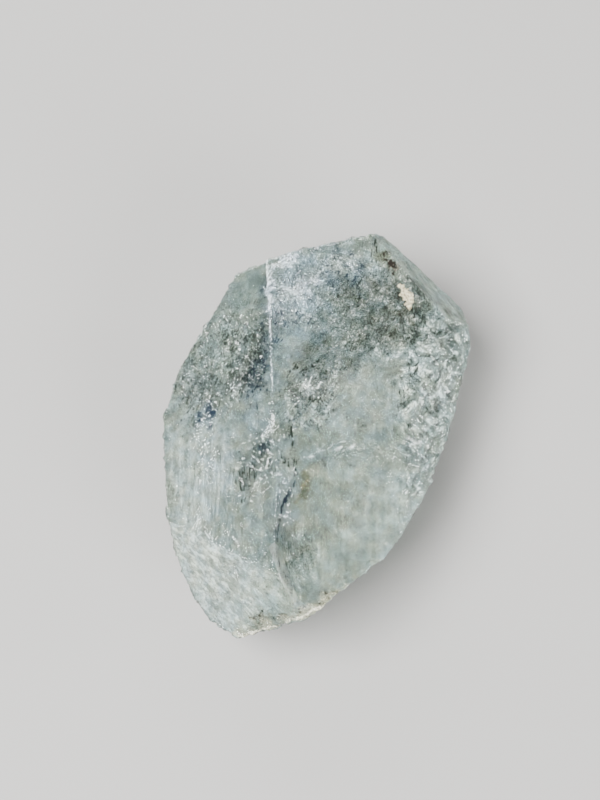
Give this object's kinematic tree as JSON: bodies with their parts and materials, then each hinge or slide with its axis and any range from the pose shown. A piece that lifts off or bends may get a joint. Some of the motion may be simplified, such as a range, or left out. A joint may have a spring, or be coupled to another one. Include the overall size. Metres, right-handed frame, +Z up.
{
  "type": "aquamarine crystal",
  "caption": "Rough aquamarine crystal fragment with broad flat faces meeting in a ridge, a shell-shaped fracture hollow and chipped edges, lying on its flat back.",
  "frame": {"origin": "middle of the crystal's footprint box, on the surface that it lies on", "axes": "+Y along the crystal's length towards its pointed end, +Z up through its thickness, +X to the side with the rough edge"},
  "size_m": [0.0288, 0.0452, 0.0166],
  "materials": {
    "beryl": "clear to milky pale blue-green, frosted and satin on the natural and broken faces, with sealed veils, specks and iron-stained films inside"
  },
  "bodies": {
    "root": {"aquamarine_crystal": "beryl"}
  },
  "joints": []
}
